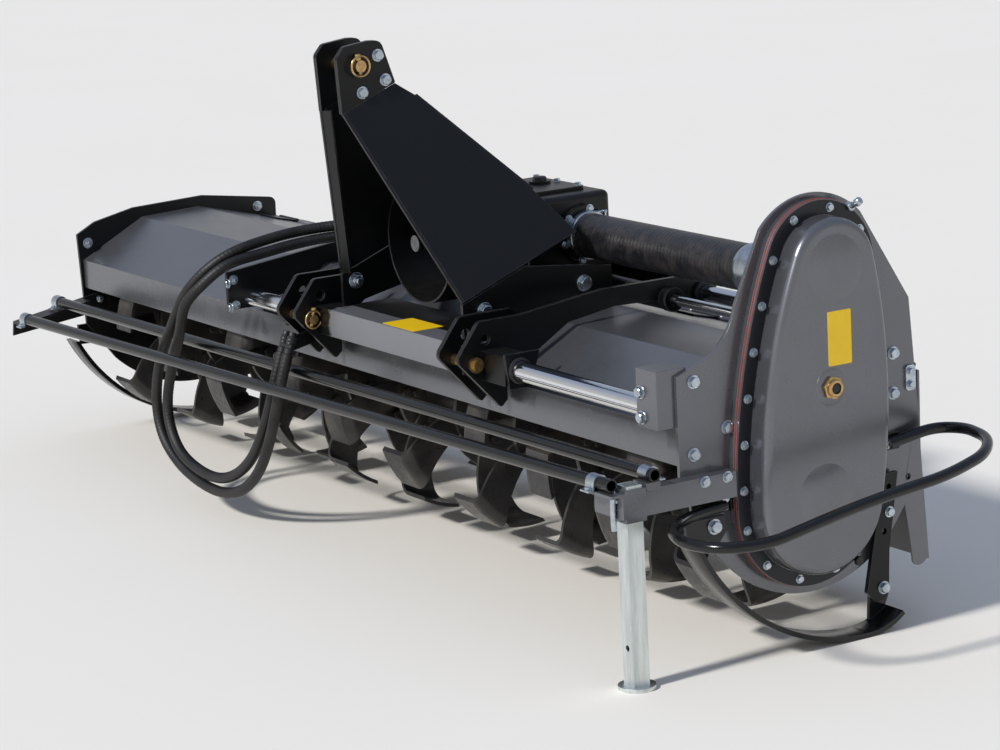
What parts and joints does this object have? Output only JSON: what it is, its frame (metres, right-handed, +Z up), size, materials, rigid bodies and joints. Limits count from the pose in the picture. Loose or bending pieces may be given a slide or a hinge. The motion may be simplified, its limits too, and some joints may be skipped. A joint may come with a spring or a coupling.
{
  "type": "side-shift rotavator",
  "caption": "Tractor-carried rotary tiller with bent sheet hood, bladed rotor, side gear case, sliding three-point headstock, levelling board, skids and parking stand.",
  "frame": {"origin": "on the ground under the middle of the whole part", "axes": "+X along the width towards the gear case, +Y away from the tractor, +Z up"},
  "size_m": [3.0085, 0.8108, 1.133],
  "materials": {
    "housing_grey": "metallic grey powder coat on steel sheet",
    "frame_black": "black powder coat on steel",
    "chrome": "hard chromed and ground steel bar",
    "zinc": "bright zinc plated steel",
    "yellow_zinc": "yellow passivated zinc plated steel",
    "bright_steel": "machined steel, lightly oiled",
    "rotor_black": "black paint on forged and rolled steel",
    "board_grey": "grey powder coat on steel sheet",
    "sleeve_black": "ribbed black rubber bellows",
    "hose_black": "rubber hose in a black spiral wrap"
  },
  "bodies": {
    "housing": {"hood": "housing_grey", "right_side_plate": "housing_grey", "gear_case": "housing_grey", "gear_cover": "housing_grey", "bar_bracket": "housing_grey", "guard_arm_right": "housing_grey", "left_side_plate": "frame_black", "shift_plate": "frame_black", "guard_tubes": "frame_black", "guard_arm_left": "frame_black", "skid_left": "frame_black", "skid_right": "frame_black", "skid_straps": "frame_black", "side_guard": "frame_black", "board_hinge": "frame_black", "front_bar": "chrome", "rear_bar": "chrome", "cylinder_rod": "chrome", "drive_bell": "zinc", "rotor_bearings": "rotor_black", "drive_sleeve": "sleeve_black"},
    "headstock": {"carriage_tube": "frame_black", "bush_plates": "frame_black", "lug_plates": "frame_black", "lug_pins": "yellow_zinc", "base_plates": "frame_black", "gearbox_bed": "frame_black", "rear_beam": "frame_black", "deck_plate": "frame_black", "tower_plates": "frame_black", "top_ears": "frame_black", "ear_spacers": "zinc", "top_pin": "yellow_zinc", "gearbox": "frame_black", "pto_guard": "frame_black", "cylinder_barrel": "frame_black", "hose_coupling_outer": "zinc", "hose_coupling_inner": "zinc", "hose_outer": "hose_black", "hose_inner": "hose_black"},
    "drive_stub": {"pto_stub": "bright_steel"},
    "rotor": {"rotor": "rotor_black", "rotor_blades": "rotor_black"},
    "board": {"levelling_board": "board_grey"},
    "stand": {"stand_leg": "zinc"}
  },
  "joints": [
    {"name": "side_shift", "type": "slide", "parent": "housing", "child": "headstock", "axis": [1, 0, 0], "range_m": [-0.17, 0.38], "deforming": ["drive_sleeve"]},
    {"name": "rotor_spin", "type": "hinge", "parent": "housing", "child": "rotor", "pos_m": [-0.1063, 0.063, 0.286], "axis": [1, 0, 0], "continuous": true},
    {"name": "drive_spin", "type": "hinge", "parent": "headstock", "child": "drive_stub", "pos_m": [0.2177, -0.093, 0.69], "axis": [0, -1, 0], "continuous": true},
    {"name": "board_swing", "type": "hinge", "parent": "housing", "child": "board", "pos_m": [-0.1063, 0.358, 0.4967], "axis": [1, 0, 0], "range_deg": [0, 60]},
    {"name": "stand_slide", "type": "slide", "parent": "housing", "child": "stand", "axis": [0, 0, 1], "range_m": [0, 0.29]}
  ],
  "couplings": [
    {"joint": "drive_spin", "follows": "rotor_spin", "ratio": 2.45}
  ]
}
